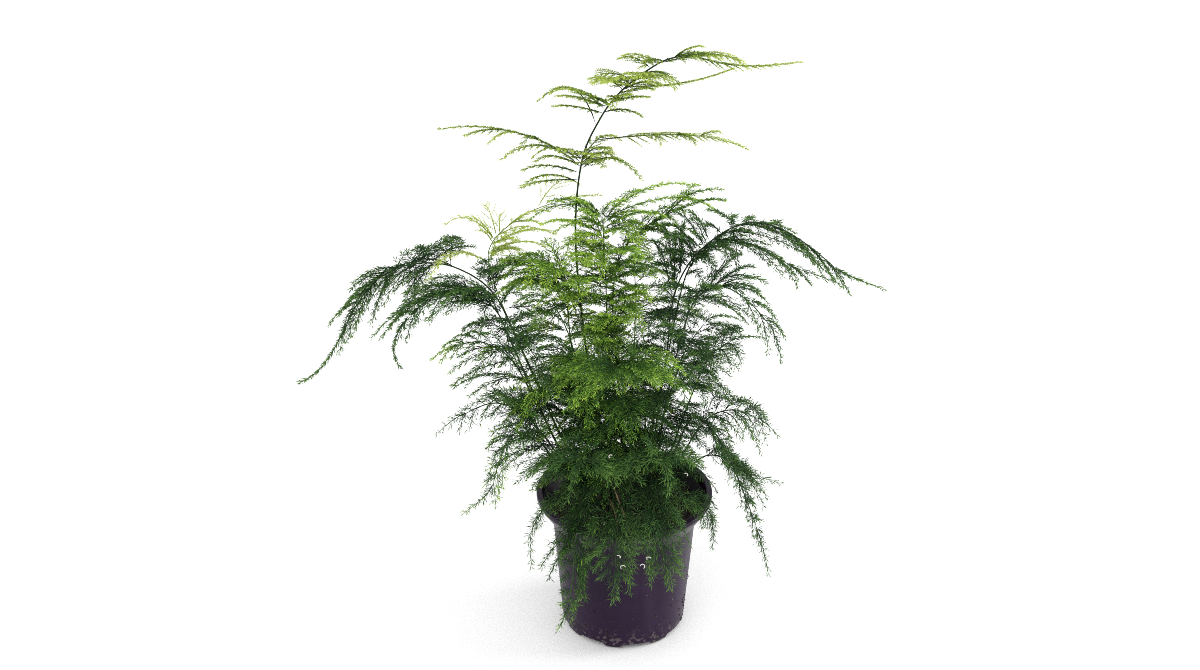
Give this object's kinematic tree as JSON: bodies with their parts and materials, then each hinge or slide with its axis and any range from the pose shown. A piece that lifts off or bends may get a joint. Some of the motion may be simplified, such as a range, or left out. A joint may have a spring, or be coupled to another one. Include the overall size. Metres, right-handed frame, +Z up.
{
  "type": "potted asparagus fern",
  "caption": "Feathery asparagus fern with wiry arching stems and flat sprays of fine needles, growing in soil in a tapered plastic nursery pot.",
  "frame": {"origin": "on the ground under the middle of the pot, at the centre of its floor", "axes": "+Z up along the pot's axis, -Y towards the front of the plant, +X to the right as seen from the front"},
  "size_m": [0.363, 0.218, 0.4001],
  "materials": {
    "pot_plastic": "moulded dark aubergine plastic, semi-matt, with light scuffs",
    "soil": "loose dark potting soil",
    "foliage_dark": "dark green needles on wiry stems",
    "foliage_middle": "mid-green needles on wiry stems",
    "foliage_young": "young yellow-green needles",
    "dry_stalk": "dry tan stalk"
  },
  "bodies": {
    "root": {"pot": "pot_plastic", "soil": "soil", "frond_tall_leader": "foliage_young", "frond_second_tall": "foliage_middle", "frond_third_tall": "foliage_middle", "frond_young_shoot": "foliage_young", "frond_left_arch": "foliage_dark", "frond_left_second": "foliage_dark", "frond_left_middle": "foliage_middle", "frond_left_lower": "foliage_dark", "frond_left_trail": "foliage_middle", "frond_left_rim": "foliage_dark", "frond_right_arch": "foliage_dark", "frond_right_second": "foliage_dark", "frond_right_middle": "foliage_dark", "frond_right_inner": "foliage_middle", "frond_right_green": "foliage_dark", "frond_right_outer": "foliage_dark", "frond_right_trail": "foliage_dark", "frond_right_sparse": "foliage_dark", "frond_right_rim": "foliage_dark", "frond_front_spray": "foliage_middle", "frond_front_low_right": "foliage_dark", "frond_front_low_left": "foliage_dark", "frond_front_trail_left": "foliage_middle", "frond_front_trail_middle": "foliage_dark", "frond_front_trail_right": "foliage_dark", "frond_middle_left": "foliage_dark", "frond_middle_right": "foliage_dark", "frond_back_low": "foliage_dark", "frond_back_left": "foliage_middle", "frond_back_middle": "foliage_dark", "frond_back_right": "foliage_dark", "dry_stalk_long": "dry_stalk", "dry_stalk_short": "dry_stalk"}
  },
  "joints": []
}
